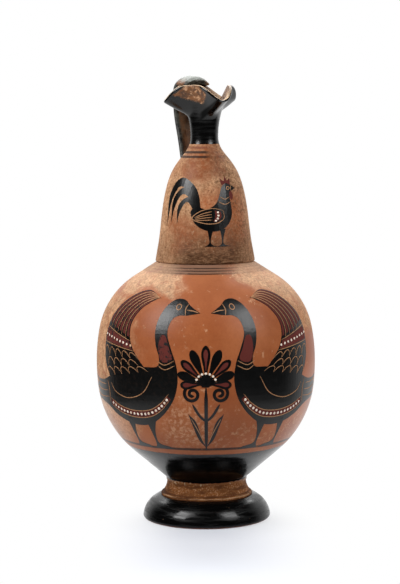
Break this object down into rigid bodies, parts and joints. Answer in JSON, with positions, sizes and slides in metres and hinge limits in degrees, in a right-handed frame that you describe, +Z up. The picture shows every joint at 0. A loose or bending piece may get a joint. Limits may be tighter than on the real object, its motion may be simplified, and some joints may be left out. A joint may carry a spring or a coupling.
{
  "type": "oinochoe jug",
  "caption": "Globular clay wine jug on a disc foot, with a bell-shaped neck, a narrow tube, a pinched trefoil pouring mouth and a strap handle rising over the rim.",
  "frame": {"origin": "centre of the foot's resting plane, on the wheel axis", "axes": "+Z up along the wheel axis, -Y towards the spout, +Y towards the handle, +X to the right when the spout points at the viewer"},
  "size_m": [0.163, 0.163, 0.3301],
  "materials": {
    "red_clay": "fired orange-red clay, burnished to a satin and worn to buff in patches",
    "bare_clay": "fired clay, matte, grainy and brown with age",
    "black_gloss": "fired black slip with a soft gloss, worn through to the clay at the edges",
    "added_red": "dark red paint, matte",
    "added_white": "white paint, matte",
    "dried_slip": "fired slip, matte"
  },
  "bodies": {
    "root": {"foot_disc": "black_gloss", "foot_stem": "bare_clay", "body_bowl": "red_clay", "body_shoulder": "red_clay", "neck_bell": "red_clay", "neck_tube": "black_gloss", "mouth_trefoil": "black_gloss", "handle_strap": "black_gloss", "luting_slip": "dried_slip"}
  },
  "joints": []
}
